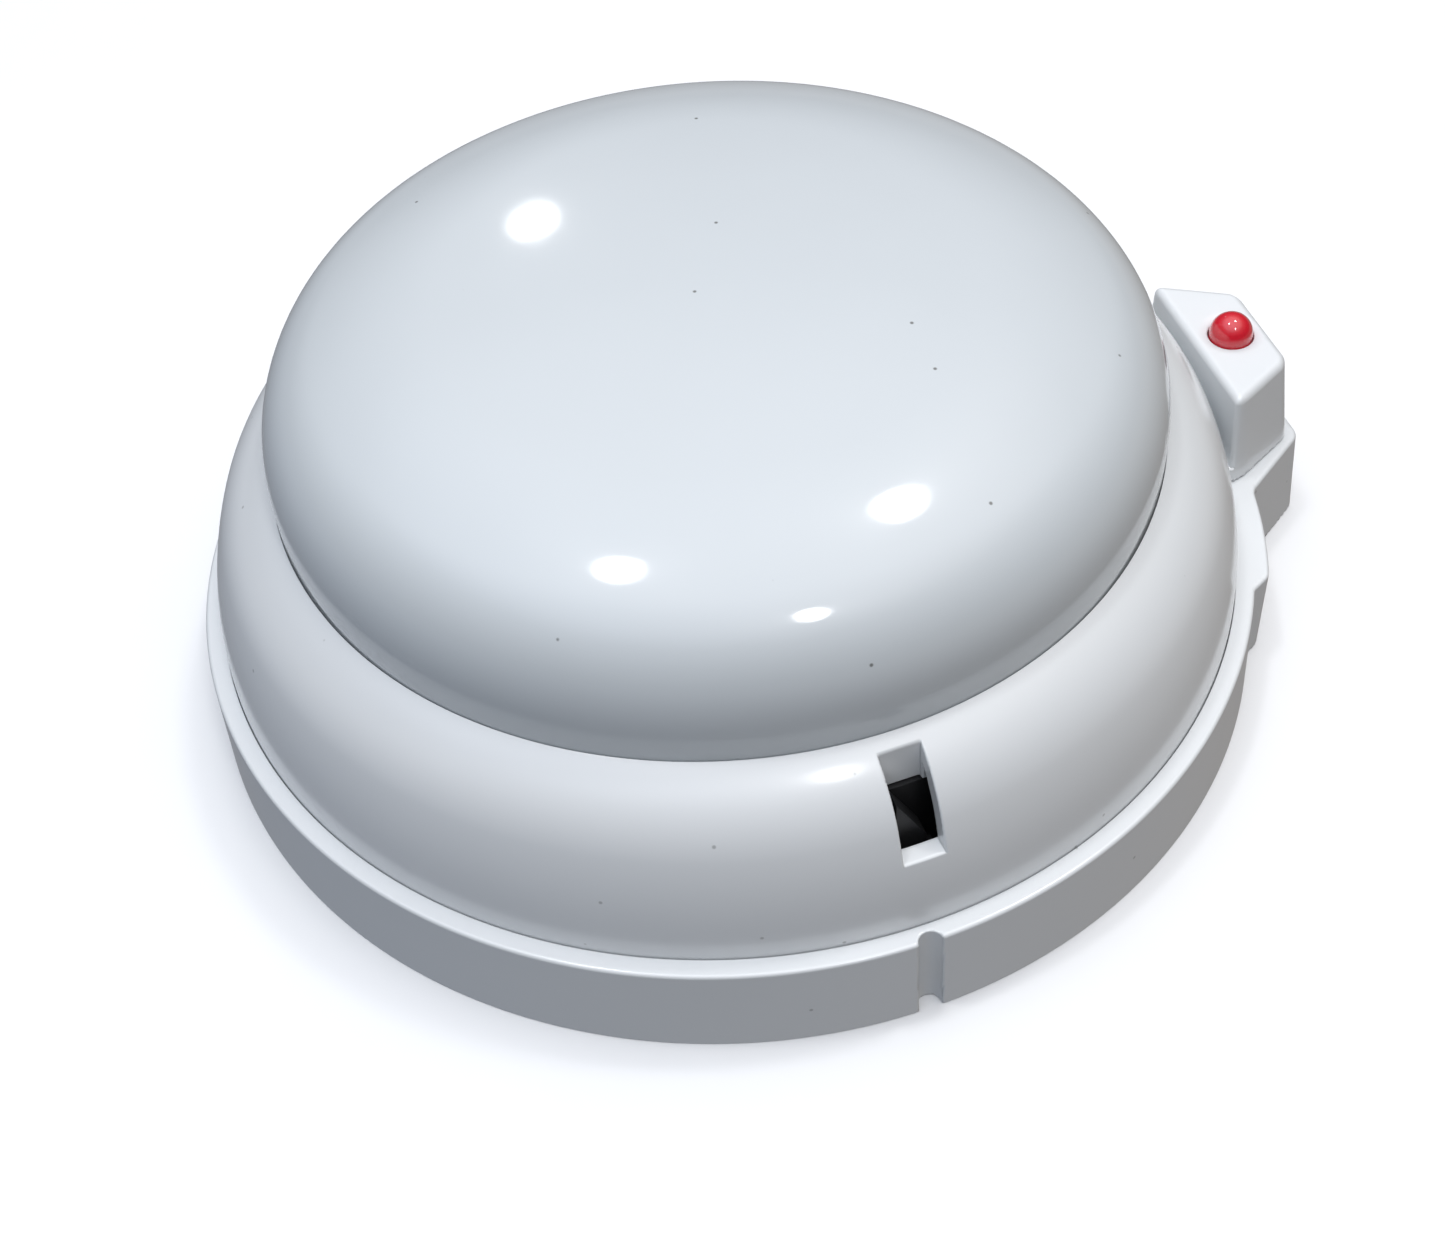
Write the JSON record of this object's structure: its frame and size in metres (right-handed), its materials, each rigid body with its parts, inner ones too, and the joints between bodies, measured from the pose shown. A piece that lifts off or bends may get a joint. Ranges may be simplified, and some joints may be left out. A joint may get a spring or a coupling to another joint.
{
  "type": "heat detector",
  "caption": "Round rate-of-rise heat detector: twist-on head with a domed air chamber, side lamp block and lock slot, on a flat fixing base.",
  "frame": {"origin": "centre of the base's mounting face, midway between the two fixing slots, on the detector's axis", "axes": "+Z along the detector's axis from the mounting face to the dome, +X from the axis to the lamp block"},
  "size_m": [0.1132, 0.105, 0.0438],
  "materials": {
    "white_plastic": "moulded, semi-gloss",
    "dome_paint": "glossy baked paint",
    "black_plastic": "moulded, fine matt",
    "cream_plastic": "moulded insulator",
    "brown_plastic": "moulded phenolic",
    "component_black": "moulded epoxy",
    "board_green": "solder resist on glass laminate",
    "resistor_body": "lacquered, with colour bands",
    "wire_red": "soft insulation",
    "red_lens": "tinted diffused epoxy",
    "nickel": "nickel-plated strip",
    "steel": "zinc-plated",
    "silver": "silver contact",
    "brass": "turned",
    "bronze": "rolled spring strip",
    "aluminium": "pressed sheet",
    "rubber": "moulded"
  },
  "bodies": {
    "base": {"base_shell": "white_plastic", "base_contact_1": "nickel", "base_contact_2": "nickel", "base_contact_3": "nickel", "base_contact_4": "nickel", "terminal_screws": "steel", "clamp_washers": "nickel", "contact_rivets": "brass"},
    "head": {"head_ring": "white_plastic", "head_carrier": "black_plastic", "head_blade_1": "nickel", "head_blade_2": "nickel", "head_blade_3": "nickel", "head_blade_4": "nickel", "blade_rivets": "brass", "ring_screws": "steel", "chamber_screws": "steel", "chamber_dome": "dome_paint", "chamber_gasket": "rubber", "chamber_plate": "aluminium", "leak_orifice": "brass", "diaphragm_clamp_ring": "nickel", "clamp_ring_rivets": "brass", "contact_block": "brown_plastic", "leaf_clamp_plate": "nickel", "contact_block_screws": "steel", "fixed_contact_bracket": "nickel", "adjusting_screw": "brass", "adjusting_lock_nut": "brass", "circuit_board": "board_green", "board_screws": "steel", "resistors": "resistor_body", "diode": "component_black", "thyristor": "component_black", "jumper_wires": "wire_red", "indicator_led": "red_lens", "led_leads": "steel"},
    "lock": {"lock_slide": "black_plastic"},
    "diaphragm_centre": {"diaphragm": "bronze", "diaphragm_pusher": "cream_plastic"},
    "contact_arm": {"contact_leaf": "bronze", "moving_contact": "silver"}
  },
  "joints": [
    {"name": "head_twist", "type": "hinge", "parent": "base", "child": "head", "pos_m": [0, 0, 0], "axis": [0, 0, 1], "range_deg": [0, 15]},
    {"name": "lock_push", "type": "slide", "parent": "head", "child": "lock", "axis": [0, 0, -1], "range_m": [0, 0.0025]},
    {"name": "diaphragm_flex", "type": "slide", "parent": "head", "child": "diaphragm_centre", "axis": [0, 0, -1], "range_m": [0, 0.0004], "stiffness_N_per_m": 120, "deforming": ["diaphragm"]},
    {"name": "contact_bend", "type": "hinge", "parent": "head", "child": "contact_arm", "pos_m": [-0.014, 0, 0.015], "axis": [0, 1, 0], "range_deg": [0, 1.7], "deforming": ["contact_leaf"]}
  ],
  "couplings": [
    {"joint": "contact_bend", "follows": "diaphragm_flex", "rad_per_m": 71.429}
  ]
}
